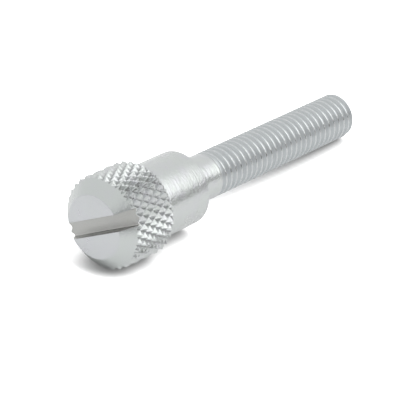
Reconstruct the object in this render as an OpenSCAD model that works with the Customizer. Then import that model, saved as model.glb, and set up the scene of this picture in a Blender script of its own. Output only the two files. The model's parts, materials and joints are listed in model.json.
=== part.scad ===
// Throttle stop screw: one turned steel piece with a slotted, diamond-knurled head,
// a plain collar behind it, and a long shank with a fine thread and a flat tip.
// The screw is built along +X from the centre of its slotted face, then laid on its
// lowest points: the last ring of knurl points and the lower edge of the tip.
// The thread is a plain cylinder of the thread's outside diameter.
// All lengths are in millimetres.

/* [Head] */
// Diameter over the points of the knurl
knurl_d = 9.6; // [8.6:0.1:14]
// Length of the head, from its slotted face to the back of the knurl
head_len = 6.4; // [4.6:0.1:12]
// Diameter of the flat on the slotted face
face_d = 6.4; // [3:0.1:8]
// Angle of the wide front chamfer, measured from the face
front_chamfer_angle = 45; // [25:1:60]
// Size of the small 45 degree chamfer behind the knurl
rear_chamfer = 0.2; // [0.1:0.05:0.6]

/* [Knurl] */
// Number of points round each ring of the knurl
knurl_teeth = 33; // [20:1:44]
// Distance along the screw between points of the same row
knurl_axial_pitch = 1.46; // [1:0.02:2.4]
// Depth of the knurl grooves
knurl_depth = 0.45; // [0.15:0.01:0.6]
// Distance from the last full ring of points to the rear chamfer
knurl_seat = 0.2; // [0.1:0.01:0.7]

/* [Slot] */
// Width of the screwdriver slot
slot_w = 1.65; // [0.8:0.05:2.4]
// Depth of the screwdriver slot
slot_depth = 1.5; // [1:0.1:3]
// Turn of the slot from level
slot_turn = 26; // [-60:0.5:60]

/* [Collar and neck] */
// Diameter of the plain collar
collar_d = 7.6; // [6:0.1:8.2]
// Length of the collar, behind the knurl
collar_len = 6.35; // [2:0.05:12]
// Size of the broken edge at the back of the collar
collar_edge = 0.12; // [0.05:0.01:0.5]
// Length of the plain neck between the collar and the thread
neck_len = 3.75; // [1:0.05:8]

/* [Thread] */
// Outside diameter of the thread and the neck
thread_d = 4.7; // [3:0.1:5.6]
// Length of the thread, up to the flat tip
thread_len = 22; // [10:0.5:40]
// Size of the 45 degree chamfer round the tip
tip_chamfer = 0.3; // [0.1:0.05:0.6]

/* [Hidden] */
$fn = 96;

knurl_r = knurl_d / 2;
root_r = knurl_r - knurl_depth;
face_r = face_d / 2;
collar_r = collar_d / 2;
thread_r = thread_d / 2;
tip_r = thread_r - tip_chamfer;

// Places along the screw, from the slotted face
collar_end = head_len + collar_len;
thread_start = collar_end + neck_len;
total_len = thread_start + thread_len;
tip_edge = total_len - tip_chamfer;
seat_x = head_len - rear_chamfer - knurl_seat;

// Depth of the front chamfer, from the flat to a circle that clears the knurl points
blank_r = knurl_r + 0.1;
blank_chamfer = (blank_r - face_r) * tan(front_chamfer_angle);

// The knurl is a grid of rings half a pitch apart, with points and pits in turn
half_pitch = knurl_axial_pitch / 2;
half_step = 180 / knurl_teeth;
columns = 2 * knurl_teeth;
rings_ahead = ceil(seat_x / half_pitch) + 1;
rings_behind = ceil((head_len - seat_x) / half_pitch) + 1;
rings = rings_ahead + rings_behind + 1;

// The lying screw touches at two neighbouring knurl points and at the tip's edge
seat_r = knurl_r * cos(half_step);
lie_angle = atan((seat_r - thread_r) / (tip_edge - seat_x));
lie_height = seat_x * sin(lie_angle) + seat_r * cos(lie_angle);
front_reach = -face_r * sin(lie_angle);
tip_reach = total_len * cos(lie_angle) + tip_r * sin(lie_angle);
mid_reach = (front_reach + tip_reach) / 2;

// Whether place (ring, column) of the grid is a point. The last full ring has points
// half a step either side of the lowest line, so that the screw sits on a pair.
function is_point(ring, column) = (ring - rings_ahead + column) % 2 != 0;

// The grid place as a vertex. Column 0 is on the lowest line.
function grid_vertex(ring, column) =
    let (r = is_point(ring, column) ? knurl_r : root_r, a = column * half_step - 90)
    [seat_x + (ring - rings_ahead) * half_pitch, r * cos(a), r * sin(a)];

function index(ring, column) = ring * columns + column % columns;

// The two facets between neighbouring rings and columns, split along the groove
function cell_facets(ring, column) =
    let (
        a = index(ring, column),
        b = index(ring, column + 1),
        c = index(ring + 1, column + 1),
        d = index(ring + 1, column)
    )
    is_point(ring, column) ? [[a, d, b], [b, d, c]] : [[a, c, b], [a, d, c]];

// A bar covered in diamond knurl, longer than the head at both ends
module knurled_bar() {
    vertices = [for (ring = [0 : rings - 1], column = [0 : columns - 1]) grid_vertex(ring, column)];
    sides = [
        for (ring = [0 : rings - 2], column = [0 : columns - 1])
            each cell_facets(ring, column)
    ];
    front = [for (column = [0 : columns - 1]) index(0, column)];
    back = [for (column = [columns - 1 : -1 : 0]) index(rings - 1, column)];
    polyhedron(points = vertices, faces = concat(sides, [front, back]), convexity = 8);
}

// Turns an outline of [distance along the screw, radius] points about the screw's axis
module turned(outline) {
    rotate([0, 90, 0])
        rotate_extrude()
            polygon([for (point = outline) [point[1], point[0]]]);
}

// The head as turned before knurling, a little larger than the knurl
module head_blank() {
    turned([
        [0, 0],
        [0, face_r],
        [blank_chamfer, blank_r],
        [head_len - rear_chamfer - (blank_r - knurl_r), blank_r],
        [head_len, knurl_r - rear_chamfer],
        [head_len, 0]
    ]);
}

// Collar, neck, thread and tip, with a root inside the head
module shank() {
    root = head_len - rear_chamfer;
    turned([
        [root, 0],
        [root, collar_r],
        [collar_end - collar_edge, collar_r],
        [collar_end, collar_r - collar_edge],
        [collar_end, thread_r],
        [tip_edge, thread_r],
        [total_len, tip_r],
        [total_len, 0]
    ]);
}

module slot_cut() {
    rotate([-slot_turn, 0, 0])
        translate([-1, -knurl_d, -slot_w / 2])
            cube([1 + slot_depth, 2 * knurl_d, slot_w]);
}

module stop_screw() {
    color("#c3c7c8")
        translate([-mid_reach, 0, lie_height])
            rotate([0, lie_angle, 0])
                difference() {
                    union() {
                        intersection() {
                            knurled_bar();
                            head_blank();
                        }
                        shank();
                    }
                    slot_cut();
                }
}

stop_screw();
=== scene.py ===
"""Throttle stop screw: the finished surfaces, the floor, the light and the camera.

The screw is one detailed mesh: a diamond-knurled, slotted head, a plain collar and neck, and a
helical thread. It is made in the screw's own axes, x from the slotted face towards the tip, and
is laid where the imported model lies.
"""

import json
import math

import bmesh
import bpy
import numpy as np
from mathutils import Matrix, Vector


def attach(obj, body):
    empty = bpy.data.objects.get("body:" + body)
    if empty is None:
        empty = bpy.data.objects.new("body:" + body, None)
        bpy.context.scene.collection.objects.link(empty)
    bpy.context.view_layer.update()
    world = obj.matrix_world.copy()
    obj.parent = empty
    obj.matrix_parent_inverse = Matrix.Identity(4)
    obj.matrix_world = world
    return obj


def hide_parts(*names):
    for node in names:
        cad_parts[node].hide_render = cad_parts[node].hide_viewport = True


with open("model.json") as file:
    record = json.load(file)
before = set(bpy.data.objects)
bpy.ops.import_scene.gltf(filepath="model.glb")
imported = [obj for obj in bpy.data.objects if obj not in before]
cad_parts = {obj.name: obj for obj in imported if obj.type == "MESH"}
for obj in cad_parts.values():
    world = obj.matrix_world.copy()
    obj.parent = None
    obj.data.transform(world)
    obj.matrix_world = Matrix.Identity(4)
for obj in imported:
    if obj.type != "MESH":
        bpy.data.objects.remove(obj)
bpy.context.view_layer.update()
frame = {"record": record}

MM = 0.001

# ---------------------------------------------------------------- the screw, in millimetres
# knurl: radius over the points, depth, points round a ring, and pitch along the screw
KNURL_R = 4.8
KNURL_DEPTH = 0.45
KNURL_TEETH = 33
KNURL_AXIAL_PITCH = 1.46
# distance from the last full ring of points to the rear chamfer
KNURL_SEAT = 0.2
# rounding of a groove's floor, and how tight the ridge between two grooves is
GROOVE_ROUND = 0.08
RIDGE_SHARPNESS = 26
# how high the flat on a point stands, where 1 is a sharp point, and how tight its edge is
POINT_FLAT = 0.93
POINT_SHARPNESS = 40

# head: length, radius of the flat face, rounding round it, and the chamfer behind the knurl
HEAD_LEN = 6.4
FACE_R = 3.2
FACE_EDGE = 0.1
REAR_CHAMFER = 0.2
# how far the head's blank stands out past the knurl's points
BLANK_OVER = 0.1

# slot: width, depth, turn from level, rounding of its floor's corners, and bevel of its edges
SLOT_W = 1.65
SLOT_DEPTH = 1.5
SLOT_TURN = math.radians(26)
SLOT_CORNER = 0.12
SLOT_BEVEL = 0.04

# collar: radius, place of its back, rounding there, and the fillet to the neck
COLLAR_R = 3.8
COLLAR_END = 12.75
COLLAR_EDGE = 0.12
NECK_FILLET = 0.15

# thread: outside radius, place of its start, pitch, depth, and rounding of its root
THREAD_R = 2.35
THREAD_START = 16.5
THREAD_PITCH = 0.81
THREAD_DEPTH = 0.29
ROOT_ROUND = 0.06
# how high the flat on a crest stands, where 1 is a sharp crest, and how tight its edge is
CREST_FLAT = 0.78
CREST_SHARPNESS = 60
# where the thread begins to deepen, and over what length
RUN_OUT_START = THREAD_START - 0.5 * THREAD_PITCH
RUN_OUT_LEN = 1.4 * THREAD_PITCH

TOTAL_LEN = 38.5
TIP_CHAMFER = 0.3

# fineness of the mesh: steps from a knurl point to the next pit, sides round the head and the
# shank, rows in a turn of thread, and steps in an arc
KNURL_STEPS = 6
HEAD_SIDES = 240
SHANK_SIDES = 96
ROWS_PER_TURN = 16
ARC_STEPS = 4
# edges at least this sharp are bevelled on the slotted head, and stay creases on the whole screw
BEVEL_ANGLE = math.radians(50)
CREASE_ANGLE = math.radians(32)

# ---------------------------------------------------------------- the zinc
# the plating's own colours: two that the blotches mix, and one for tinted patches
ZINC_DULL = (0.55, 0.58, 0.568, 1)
ZINC_PALE = (0.585, 0.607, 0.595, 1)
ZINC_VIOLET = (0.575, 0.57, 0.61, 1)
# the thread: painted shade on its flanks, and a painted glint on its crests
THREAD_FLANK_SHADE = (0.49, 0.515, 0.525, 1)
THREAD_CREST_GLINT = (0.6, 0.62, 0.62, 1)
# places with a tint, or with painted shade: how much of it, and its colour
CHAMFER_TINT = (0.5, (0.5, 0.53, 0.52, 1))
FACE_TINT = (0.6, (0.53, 0.54, 0.565, 1))
# painted shade in the knurl's pits
PIT_SHADE = (0.45, (0.3, 0.3, 0.31, 1))
# painted shade in the slot
SLOT_SHADE = (0.8, (0.44, 0.44, 0.425, 1))
# roughness from blotch to blotch, and what the slot, the thread's flanks and its crests add
ZINC_ROUGHNESS = (0.2, 0.28)
SLOT_ROUGHNESS = 0.15
FLANK_ROUGHNESS = 0.2
CREST_ROUGHNESS = -0.07
# noises: scale, detail and roughness
RINGS = (9000.0, 3.0, 0.6)
STREAKS = (4500.0, 3.0, 0.6)
GRAIN = (4000.0, 3.0, 0.6)
BLOTCHES = (420.0, 4.0, 0.55)
TINTS = (900.0, 2.0, 0.5)
# how much y and z count for the streaks, which draws them out round the screw
STREAK_SQUEEZE = 0.15
# relief: depth in millimetres, and the shares of turning rings, streaks and grain
RELIEF = 0.04
RING_SHARE = 0.4
STREAK_SHARE = 0.9
GRAIN_SHARE = 0.7
# reach of the masks, in millimetres: past the edges that they follow, behind the flat face, and
# from just inside the slot's mouth to just under its floor
EASE = 0.02
FACE_SKIN = 0.05
SLOT_START = 0.03
SLOT_SKIN = 0.05
# heights above the knurl's root at which the painted shade in a pit is full and gone
PIT_SHADE_BAND = (0.02, 0.16)
# length over which the thread's painted shade and glint, and its roughness, set in
THREAD_BLEND = 0.5
# depths below the crest at which its painted glint, and its gloss, begin and are full
CREST_GLINT_BAND = (0.08, 0.01)
GLOSS_BAND = (0.07, 0.01)

# ---------------------------------------------------------------- light
WALL_LEVEL = 1.0
# one big soft light, high on the right: edge and core in degrees
LIGHT_DIRECTION = (0.40, -0.70, 0.60)
LIGHT_SPREAD = (45, 5)
LIGHT_LEVEL = 1.0
# darker places: direction, edge and core in degrees, and how much darker
DARK_PLACES = (
    ((-0.68, -0.72, 0.05), 36, 4, 0.45),  # the room on the camera's side
    ((-0.68, -0.52, 0.52), 16, 3, 0.48),  # the camera
    ((0.02, -1.0, 0.08), 32, 6, 0.75),  # the wall on the camera's right
)
# a dark line along the horizon: direction of its middle, edge and core along it in degrees, its
# height as a direction's z, edge and core across it in degrees, and darkness
LINE_DIRECTION = (0.45, -0.89, 0.0)
LINE_SPREAD = (55, 30)
LINE_HEIGHT = 0.03
LINE_HALF = (7, 3)
LINE_DARKNESS = 1.0

# a soft sun for the floor alone, which makes the screw's shadow
KEY_DIRECTION = (0.08, -0.72, 0.69)
KEY_STRENGTH = 3.4
KEY_ANGLE = math.radians(35)
# the floor to the camera: its level, an even glow, and the contact shadow's reach in millimetres
FLOOR_SEEN = 1.36
FLOOR_LIFT = 0.13
FLOOR_CONTACT = 2.0
CONTACT_SAMPLES = 16
# the floor to the metal: its level, and where painted shade darkens it, towards the room's and the
# horizon line's
#  dark places: direction, start and end in millimetres, and how much is left
FLOOR_LEVEL = 0.59
ROOM_FADE = ((-0.85, -0.52, 0), 30, 52, 0.69)
LINE_FADE = ((0.68, -0.73, 0), 50, 95, 0.35)
# half of the floor's side, in metres
FLOOR_HALF = 0.6

# ---------------------------------------------------------------- camera: lens in mm, rest in m
CAMERA_AZIMUTH = math.radians(-50.58)
CAMERA_RISE = math.radians(28.3)
CAMERA_LENS = 243.0
CAMERA_DISTANCE = 0.2636
CAMERA_TARGET = (-0.00634, -0.00251, 0.00369)
CAMERA_CLIP = (0.01, 10.0)


# ================================================================ mesh helpers
def mesh_object(name, vertices, faces):
    """A mesh object from points in millimetres in the screw's axes."""
    mesh = bpy.data.meshes.new(name)
    mesh.from_pydata([tuple(v) for v in np.asarray(vertices) * MM], [], faces)
    obj = bpy.data.objects.new(name, mesh)
    bpy.context.scene.collection.objects.link(obj)
    work = bmesh.new()
    work.from_mesh(mesh)
    bmesh.ops.remove_doubles(work, verts=work.verts, dist=1e-7)
    bmesh.ops.dissolve_degenerate(work, edges=work.edges, dist=1e-8)
    bmesh.ops.recalc_face_normals(work, faces=work.faces)
    work.to_mesh(mesh)
    work.free()
    return obj


def apply_modifiers(obj):
    """Replaces the object's mesh by its evaluated mesh."""
    graph = bpy.context.evaluated_depsgraph_get()
    made = bpy.data.meshes.new_from_object(obj.evaluated_get(graph))
    obj.modifiers.clear()
    old = obj.data
    obj.data = made
    bpy.data.meshes.remove(old)


def combine(obj, other, operation):
    """Boolean of two closed meshes, which removes the second."""
    step = obj.modifiers.new(operation.lower(), "BOOLEAN")
    step.operation = operation
    step.solver = "MANIFOLD"
    step.object = other
    apply_modifiers(obj)
    bpy.data.objects.remove(other)


def arc(centre_x, centre_r, radius, start, end):
    """Points of an arc in the (x, r) outline, in degrees, with 0 along +x and 90 outward."""
    angles = np.radians(np.linspace(start, end, ARC_STEPS + 1))
    return [(centre_x + radius * math.cos(a), centre_r + radius * math.sin(a)) for a in angles]


def turned(name, outline, sides):
    """Turns an outline of (x, r) points, with both ends on the axis, about the axis."""
    inner = outline[1:-1]
    angles = np.linspace(0, 2 * math.pi, sides, endpoint=False)
    vertices = [(x, r * math.cos(a), r * math.sin(a)) for x, r in inner for a in angles]
    first, last = len(vertices), len(vertices) + 1
    vertices += [(outline[0][0], 0, 0), (outline[-1][0], 0, 0)]
    faces = []
    for j in range(len(inner) - 1):
        near, far = j * sides, (j + 1) * sides
        for i in range(sides):
            k = (i + 1) % sides
            faces.append((near + i, near + k, far + k, far + i))
    back = (len(inner) - 1) * sides
    for i in range(sides):
        k = (i + 1) % sides
        faces.append((first, k, i))
        faces.append((last, back + i, back + k))
    return mesh_object(name, vertices, faces)


def grid_faces(rows, columns, flip):
    """Triangles of a grid that closes round its columns. flip(j, i) picks the other diagonal."""
    faces = []
    for j in range(rows - 1):
        for i in range(columns):
            k = (i + 1) % columns
            a, b = j * columns + i, j * columns + k
            c, d = b + columns, a + columns
            if flip(j, i):
                faces += [(a, b, d), (b, c, d)]
            else:
                faces += [(a, b, c), (a, c, d)]
    return faces


def soft_min(a, b, sharpness):
    """A smooth minimum: the larger the sharpness, the tighter the corner."""
    return -np.log(np.exp(-sharpness * a) + np.exp(-sharpness * b)) / sharpness


def ramp(t):
    """Smooth step from 0 to 1."""
    t = np.clip(t, 0, 1)
    return t * t * (3 - 2 * t)


def groove(t, rounding):
    """A row of V grooves: near 0 in the floor at each whole t, and near 1 on the ridge between."""
    rise = 1 - abs(2 * (t - np.floor(t)) - 1)
    return np.sqrt(rise**2 + rounding**2) - rounding


# ================================================================ the head
def knurled_bar():
    """A bar with diamond knurl: rounded grooves of two hands, cut into a cylinder."""
    fine = KNURL_STEPS
    half_pitch = KNURL_AXIAL_PITCH / 2
    seat_x = HEAD_LEN - REAR_CHAMFER - KNURL_SEAT
    ahead = math.ceil(seat_x / half_pitch) + 1
    behind = math.ceil((HEAD_LEN - seat_x) / half_pitch) + 1
    rows, columns = (ahead + behind) * fine + 1, 2 * KNURL_TEETH * fine
    ring = (np.arange(rows) / fine - ahead)[:, None]
    column = (np.arange(columns) / fine)[None]

    right_hand = groove((ring + column) / 2, GROOVE_ROUND)
    left_hand = groove((ring - column) / 2, GROOVE_ROUND)
    height = soft_min(right_hand, left_hand, RIDGE_SHARPNESS)
    height = soft_min(height, POINT_FLAT, POINT_SHARPNESS)
    radius = KNURL_R - KNURL_DEPTH * (height.max() - height)
    angle = column * math.pi / KNURL_TEETH - math.pi / 2
    x = np.broadcast_to(seat_x + ring * half_pitch, radius.shape)
    vertices = np.stack([x, radius * np.cos(angle), radius * np.sin(angle)], -1).reshape(-1, 3)
    faces = grid_faces(rows, columns, lambda j, i: (j // fine - ahead + i // fine) % 2 != 0)
    ends = [(x[0, 0], 0, 0), (x[-1, 0], 0, 0)]
    last = (rows - 1) * columns
    for i in range(columns):
        k = (i + 1) % columns
        faces.append((len(vertices), k, i))
        faces.append((len(vertices) + 1, last + i, last + k))
    return mesh_object("knurled_bar", np.vstack([vertices, ends]), faces)


def head_blank():
    """The head before knurling: flat face, 45 degree front chamfer and small rear chamfer."""
    over = KNURL_R + BLANK_OVER
    cut = FACE_EDGE * math.tan(math.radians(45 / 2))
    return turned("head_blank", [
        (0, 0),
        (0, FACE_R * 0.5),
        *arc(FACE_EDGE, FACE_R - cut, FACE_EDGE, 180, 135),
        (over - FACE_R, over),
        (HEAD_LEN - REAR_CHAMFER - (over - KNURL_R), over),
        (HEAD_LEN, KNURL_R - REAR_CHAMFER),
        (HEAD_LEN, 0),
    ], HEAD_SIDES)


def slot_cutter():
    """The saw's path across the face, with slightly rounded floor corners."""
    half = SLOT_W / 2
    reach = KNURL_R + 1
    floor_x, wall = SLOT_DEPTH - SLOT_CORNER, half - SLOT_CORNER
    corner = [(floor_x + SLOT_CORNER * math.sin(a), wall + SLOT_CORNER * math.cos(a))
              for a in np.radians(np.linspace(0, 90, ARC_STEPS + 1))]
    section = [(-1, -half), (-1, half)] + corner + [(x, -w) for x, w in reversed(corner)]
    count = len(section)
    turn = Matrix.Rotation(-SLOT_TURN, 4, "X")
    vertices = [turn @ Vector((x, side * reach, w)) for side in (-1, 1) for x, w in section]
    faces = [tuple(range(count)), tuple(range(2 * count - 1, count - 1, -1))]
    for i in range(count):
        k = (i + 1) % count
        faces.append((i, k, count + k, count + i))
    return mesh_object("slot_cutter", [tuple(v) for v in vertices], faces)


def slotted_head():
    """The head: its blank is slotted, its sharp edges are broken, and then it is knurled."""
    head = head_blank()
    combine(head, slot_cutter(), "DIFFERENCE")
    edge = head.modifiers.new("edge", "BEVEL")
    edge.width = SLOT_BEVEL * MM
    edge.segments = 2
    edge.limit_method = "ANGLE"
    edge.angle_limit = BEVEL_ANGLE
    apply_modifiers(head)
    combine(head, knurled_bar(), "INTERSECT")
    return head


# ================================================================ the shank
def thread_radius(x, angle):
    """Radius of the right-hand thread at a place along and round the screw."""
    phase = (x - THREAD_START) / THREAD_PITCH - angle / (2 * math.pi)
    height = soft_min(groove(phase, ROOT_ROUND), CREST_FLAT, CREST_SHARPNESS) / CREST_FLAT
    depth = THREAD_DEPTH * ramp((x - RUN_OUT_START) / RUN_OUT_LEN)
    return THREAD_R - depth * np.clip(1 - height, 0, 1)


def threaded_shank():
    """Collar, neck and thread: level rings, then rows that climb one pitch a turn."""
    angles = np.linspace(0, 2 * math.pi, SHANK_SIDES + 1)
    end = TOTAL_LEN + 0.5
    outline = [
        (HEAD_LEN - REAR_CHAMFER, COLLAR_R),
        *arc(COLLAR_END - COLLAR_EDGE, COLLAR_R - COLLAR_EDGE, COLLAR_EDGE, 90, 0),
        *arc(COLLAR_END + NECK_FILLET, THREAD_R + NECK_FILLET, NECK_FILLET, 180, 270),
        (RUN_OUT_START, THREAD_R),
    ]
    places = [(np.full_like(angles, x), np.full_like(angles, r)) for x, r in outline]
    turns = (end - RUN_OUT_START) / THREAD_PITCH
    for row in range(-ROWS_PER_TURN, math.ceil(turns * ROWS_PER_TURN)):
        climb = THREAD_PITCH * (row / ROWS_PER_TURN + angles / (2 * math.pi))
        x = np.clip(RUN_OUT_START + climb, RUN_OUT_START, end)
        places.append((x, thread_radius(x, angles)))
    places.append((np.full_like(angles, end), thread_radius(end, angles)))

    rings = [np.stack([x, r * np.cos(angles), r * np.sin(angles)], -1) for x, r in places]
    vertices = np.concatenate(rings)
    width = SHANK_SIDES + 1
    faces = [
        (j * width + i, j * width + i + 1, (j + 1) * width + i + 1, (j + 1) * width + i)
        for j in range(len(places) - 1)
        for i in range(SHANK_SIDES)
    ]
    last = (len(places) - 1) * width
    front_centre, back_centre = len(vertices), len(vertices) + 1
    for i in range(SHANK_SIDES):
        faces.append((front_centre, i + 1, i))
        faces.append((back_centre, last + i, last + i + 1))
    ends = [(outline[0][0], 0, 0), (end, 0, 0)]
    rod = mesh_object("shank", np.vstack([vertices, ends]), faces)
    combine(rod, tip_blank(), "INTERSECT")
    return rod


def tip_blank():
    """The bar that the shank is cut from: it ends in a flat tip with a small chamfer."""
    over = KNURL_R
    slope = over - (THREAD_R - TIP_CHAMFER)
    return turned("tip_blank", [
        (0, 0),
        (0, over),
        (TOTAL_LEN - slope, over),
        (TOTAL_LEN, THREAD_R - TIP_CHAMFER),
        (TOTAL_LEN, 0),
    ], SHANK_SIDES)


# ================================================================ the whole screw
def mark_edges(mesh, limit):
    """Smooth shading, with creases kept wherever two faces meet at more than the limit."""
    work = bmesh.new()
    work.from_mesh(mesh)
    for face in work.faces:
        face.smooth = True
    for edge in work.edges:
        edge.smooth = len(edge.link_faces) == 2 and edge.calc_face_angle() < limit
    work.to_mesh(mesh)
    work.free()


def lie_matrix():
    """From the screw's own axes to the row frame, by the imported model's tip mount."""
    tip = next(m for m in frame["record"]["mounts"] if m["name"] == "tip")
    along = Vector(tip["axis"]).normalized()
    side = Vector((0, 1, 0))
    up = along.cross(side)
    face_centre = Vector(tip["pos_m"]) - along * TOTAL_LEN * MM
    return Matrix.Translation(face_centre) @ Matrix((along, side, up)).transposed().to_4x4()


def stop_screw():
    screw = slotted_head()
    combine(screw, threaded_shank(), "UNION")
    mark_edges(screw.data, CREASE_ANGLE)
    screw.name = screw.data.name = "stop_screw_finished"
    screw.data.transform(lie_matrix())
    screw.data.materials.clear()
    screw.data.materials.append(zinc_plate())
    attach(screw, "root")
    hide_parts("stop_screw")


# ================================================================ materials
class Nodes:
    """A material's or a world's node tree, with short calls for what is used here."""

    def __init__(self, owner):
        owner.use_nodes = True
        self.tree = owner.node_tree
        self.tree.nodes.clear()

    def add(self, kind, _inputs=None, **settings):
        node = self.tree.nodes.new(kind)
        for name, value in settings.items():
            setattr(node, name, value)
        for name, value in (_inputs or {}).items():
            self.put(node.inputs[name], value)
        return node

    def put(self, socket, value):
        if isinstance(value, bpy.types.NodeSocket):
            self.tree.links.new(value, socket)
        else:
            socket.default_value = value

    def math(self, operation, a, b=0.0):
        return self.add("ShaderNodeMath", {0: a, 1: b}, operation=operation).outputs[0]

    def dot(self, a, b):
        inputs = {0: a, 1: b}
        node = self.add("ShaderNodeVectorMath", inputs, operation="DOT_PRODUCT")
        return node.outputs["Value"]

    def noise(self, vector, scale, detail, roughness):
        inputs = {"Vector": vector, "Scale": scale, "Detail": detail, "Roughness": roughness}
        return self.add("ShaderNodeTexNoise", inputs).outputs["Fac"]

    def spread(self, value, low, high, out_low, out_high, smooth=False):
        """Carries low to high over to out_low to out_high, and holds the ends beyond them."""
        inputs = {
            "Value": value,
            "From Min": low,
            "From Max": high,
            "To Min": out_low,
            "To Max": out_high,
        }
        kind = "SMOOTHSTEP" if smooth else "LINEAR"
        return self.add("ShaderNodeMapRange", inputs, interpolation_type=kind).outputs["Result"]

    def vector(self, x, y, z=0.0):
        return self.add("ShaderNodeCombineXYZ", {0: x, 1: y, 2: z}).outputs[0]

    def mix(self, factor, a, b):
        node = self.add("ShaderNodeMix", {"Factor": factor}, data_type="RGBA")
        self.put(node.inputs[6], a)
        self.put(node.inputs[7], b)
        return node.outputs[2]

    def tinted(self, colour, mask, amount, tint):
        return self.mix(self.math("MULTIPLY", mask, amount), colour, tint)

    def camera_else(self, seen, otherwise):
        """One value for what the camera sees directly, and another for everything else."""
        camera = self.add("ShaderNodeLightPath").outputs["Is Camera Ray"]
        change = self.math("MULTIPLY", camera, self.math("SUBTRACT", seen, otherwise))
        return self.math("ADD", change, otherwise)


def zinc_plate():
    """Bright zinc on turned steel: fine turning rings and faint blotches, with painted shade in
    the knurl's pits, the slot and the thread, and painted glints on the thread's crests.
    """
    material = bpy.data.materials.new("zinc_plate")
    n = Nodes(material)
    lie = lie_matrix()
    own_axes = {
        "Vector": n.add("ShaderNodeTexCoord").outputs["Object"],
        "Location": lie.translation,
        "Rotation": lie.to_euler(),
    }
    place = n.add("ShaderNodeMapping", own_axes, vector_type="TEXTURE").outputs[0]
    x, y, z = n.add("ShaderNodeSeparateXYZ", {0: place}).outputs
    radius = n.math("SQRT", n.math("ADD", n.math("MULTIPLY", y, y), n.math("MULTIPLY", z, z)))

    # rings left by the tool, streaks round the screw, and the plating's grain, blotches and tint
    around = n.vector(x, n.math("MULTIPLY", y, STREAK_SQUEEZE),
                      n.math("MULTIPLY", z, STREAK_SQUEEZE))
    rings = n.noise(n.vector(x, radius), *RINGS)
    streaks = n.noise(around, *STREAKS)
    grain = n.noise(place, *GRAIN)
    blotch = n.noise(place, *BLOTCHES)
    tint = n.noise(place, *TINTS)

    # the slot's walls and floor, where shade is painted into the colour and roughness is added
    across = n.math("ADD", n.math("MULTIPLY", y, math.sin(SLOT_TURN)),
                    n.math("MULTIPLY", z, math.cos(SLOT_TURN)))
    in_width = n.math("LESS_THAN", n.math("ABSOLUTE", across), (SLOT_W / 2 + EASE) * MM)
    in_depth = n.math("MULTIPLY", n.math("GREATER_THAN", x, SLOT_START * MM),
                      n.math("LESS_THAN", x, (SLOT_DEPTH + SLOT_SKIN) * MM))
    slot = n.math("MULTIPLY", in_width, in_depth)
    # the flat face, and the front of the head: the face and its wide chamfer
    face = n.math("LESS_THAN", x, FACE_SKIN * MM)
    front = n.math("LESS_THAN", n.math("SUBTRACT", x, radius), (EASE - FACE_R) * MM)
    # the pits of the knurl, behind the chamfer, where shade is painted into the colour
    root = KNURL_R - KNURL_DEPTH
    on_head = n.math("MULTIPLY", n.math("LESS_THAN", x, (HEAD_LEN - EASE) * MM),
                     n.math("GREATER_THAN", radius, (root - EASE) * MM))
    on_head = n.math("MULTIPLY", on_head, n.math("SUBTRACT", 1.0, front))
    low, high = ((root + rise) * MM for rise in PIT_SHADE_BAND)
    pit_shade = n.spread(radius, low, high, 1.0, 0.0)
    pit_shade = n.math("MULTIPLY", pit_shade, on_head)
    # the thread, which is painted darker as shade, and the painted glint on its crests, which the
    # grain breaks up
    thread = n.spread(x, THREAD_START * MM, (THREAD_START + THREAD_BLEND) * MM, 0.0, 1.0)
    low, high = ((THREAD_R - below) * MM for below in CREST_GLINT_BAND)
    crest_glint = n.spread(radius, low, high, 0.0, 1.0)
    crest_glint = n.math("MULTIPLY", crest_glint, n.spread(grain, 0.35, 0.65, 0.1, 1.1))

    colour = n.mix(blotch, ZINC_DULL, ZINC_PALE)
    colour = n.mix(n.spread(tint, 0.4, 0.7, 0.0, 0.5), colour, ZINC_VIOLET)
    colour = n.tinted(colour, front, *CHAMFER_TINT)
    colour = n.tinted(colour, face, *FACE_TINT)
    # the thread: painted shade on the flanks and a painted glint on the crests
    colour = n.mix(thread, colour, n.mix(crest_glint, THREAD_FLANK_SHADE, THREAD_CREST_GLINT))
    # painted shade in the knurl's pits
    colour = n.tinted(colour, pit_shade, *PIT_SHADE)
    # painted shade in the slot
    colour = n.tinted(colour, slot, *SLOT_SHADE)

    roughness = n.spread(blotch, 0.3, 0.7, *ZINC_ROUGHNESS)
    roughness = n.math("ADD", roughness, n.math("MULTIPLY", slot, SLOT_ROUGHNESS))
    low, high = ((THREAD_R - below) * MM for below in GLOSS_BAND)
    flank = n.spread(radius, low, high, FLANK_ROUGHNESS, CREST_ROUGHNESS)
    roughness = n.math("ADD", roughness, n.math("MULTIPLY", thread, flank))

    height = n.math("ADD", n.math("MULTIPLY", rings, RING_SHARE),
                    n.math("MULTIPLY", streaks, STREAK_SHARE))
    height = n.math("ADD", height, n.math("MULTIPLY", grain, GRAIN_SHARE))
    bump = n.add("ShaderNodeBump", {"Strength": 1.0, "Distance": RELIEF * MM, "Height": height})

    shader = n.add("ShaderNodeBsdfPrincipled", {
        "Base Color": colour,
        "Metallic": 1.0,
        "Roughness": roughness,
        "Normal": bump.outputs[0],
    })
    n.add("ShaderNodeOutputMaterial", {"Surface": shader.outputs[0]})
    return material


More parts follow.
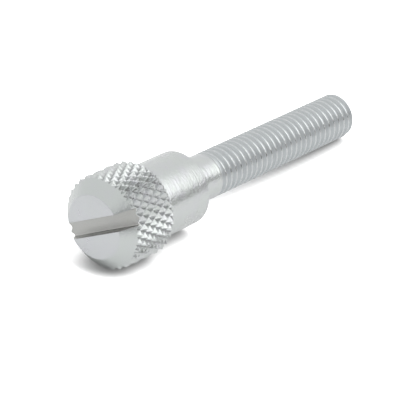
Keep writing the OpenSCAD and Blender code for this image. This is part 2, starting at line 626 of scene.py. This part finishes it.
def floor_material():
    """Matt paper: to the camera white, with a shadow close under the screw; to the metal grey,
    with painted shade towards the room and the horizon line.
    """
    material = bpy.data.materials.new("floor_paper")
    n = Nodes(material)
    near = {"Distance": FLOOR_CONTACT * MM}
    ambient = n.add("ShaderNodeAmbientOcclusion", near, samples=CONTACT_SAMPLES)
    to_camera = n.math("MULTIPLY", ambient.outputs["AO"], FLOOR_SEEN)
    place = n.add("ShaderNodeTexCoord").outputs["Object"]
    to_metal = FLOOR_LEVEL
    # painted shade on the floor as the metal sees it, towards the room and the horizon line
    for way, start, end, left in (ROOM_FADE, LINE_FADE):
        fade = n.spread(n.dot(place, way), start * MM, end * MM, 1.0, left, smooth=True)
        to_metal = n.math("MULTIPLY", to_metal, fade)
    level = n.camera_else(to_camera, to_metal)
    glow = n.camera_else(FLOOR_LIFT, 0.0)
    paper = n.add("ShaderNodeBsdfDiffuse", {"Color": n.vector(level, level, level)})
    lift = n.add("ShaderNodeEmission", {"Color": (1, 1, 1, 1), "Strength": glow})
    both = n.add("ShaderNodeAddShader", {0: paper.outputs[0], 1: lift.outputs[0]})
    n.add("ShaderNodeOutputMaterial", {"Surface": both.outputs[0]})
    return material


# ================================================================ floor, light and camera
def floor():
    half = FLOOR_HALF
    corners = [(-half, -half, 0), (half, -half, 0), (half, half, 0), (-half, half, 0)]
    mesh = bpy.data.meshes.new("floor")
    mesh.from_pydata(corners, [], [(0, 1, 2, 3)])
    mesh.materials.append(floor_material())
    obj = bpy.data.objects.new("floor", mesh)
    bpy.context.scene.collection.objects.link(obj)


def studio_walls():
    """The world: to the camera white; to the metal pale walls, a soft light and darker places."""
    world = bpy.data.worlds.new("studio")
    bpy.context.scene.world = world
    n = Nodes(world)
    direction = n.add("ShaderNodeTexCoord").outputs["Generated"]

    def patch(way, edge, core, level):
        """A round patch of the walls, from nothing at its edge to the level at its core."""
        near = n.dot(direction, tuple(Vector(way).normalized()))
        return n.spread(near, math.cos(math.radians(edge)), math.cos(math.radians(core)),
                        0.0, level, smooth=True)

    height = n.add("ShaderNodeSeparateXYZ", {0: direction}).outputs["Z"]
    off_line = n.math("ABSOLUTE", n.math("SUBTRACT", height, LINE_HEIGHT))
    edge, core = (math.sin(math.radians(half)) for half in LINE_HALF)
    on_line = n.spread(off_line, edge, core, 0.0, 1.0, smooth=True)
    line = n.math("MULTIPLY", on_line, patch(LINE_DIRECTION, *LINE_SPREAD, LINE_DARKNESS))

    level = n.math("ADD", patch(LIGHT_DIRECTION, *LIGHT_SPREAD, LIGHT_LEVEL), WALL_LEVEL)
    for shade in [line] + [patch(*place) for place in DARK_PLACES]:
        level = n.math("MULTIPLY", level, n.math("SUBTRACT", 1.0, shade))
    strength = n.camera_else(1.0, level)
    back = n.add("ShaderNodeBackground", {"Color": (1, 1, 1, 1), "Strength": strength})
    n.add("ShaderNodeOutputWorld", {"Surface": back.outputs[0]})


def add_aimed(obj, back):
    """Adds a lamp or camera to the scene, with its back turned towards a direction."""
    obj.rotation_mode = "QUATERNION"
    obj.rotation_quaternion = back.to_track_quat("Z", "Y")
    bpy.context.scene.collection.objects.link(obj)


def key_light():
    """A soft sun for the floor alone: what the metal shows is in the world."""
    data = bpy.data.lights.new("key", "SUN")
    data.energy = KEY_STRENGTH
    data.angle = KEY_ANGLE
    obj = bpy.data.objects.new("key", data)
    obj.visible_glossy = False
    add_aimed(obj, Vector(KEY_DIRECTION))


def camera():
    data = bpy.data.cameras.new("camera")
    data.lens = CAMERA_LENS
    data.clip_start, data.clip_end = CAMERA_CLIP
    obj = bpy.data.objects.new("camera", data)
    back = Vector((
        math.sin(CAMERA_AZIMUTH) * math.cos(CAMERA_RISE),
        -math.cos(CAMERA_AZIMUTH) * math.cos(CAMERA_RISE),
        math.sin(CAMERA_RISE),
    ))
    obj.location = Vector(CAMERA_TARGET) + back * CAMERA_DISTANCE
    add_aimed(obj, back)
    bpy.context.scene.camera = obj


bpy.context.scene.view_settings.view_transform = "Standard"
camera()
floor()
studio_walls()
key_light()
stop_screw()
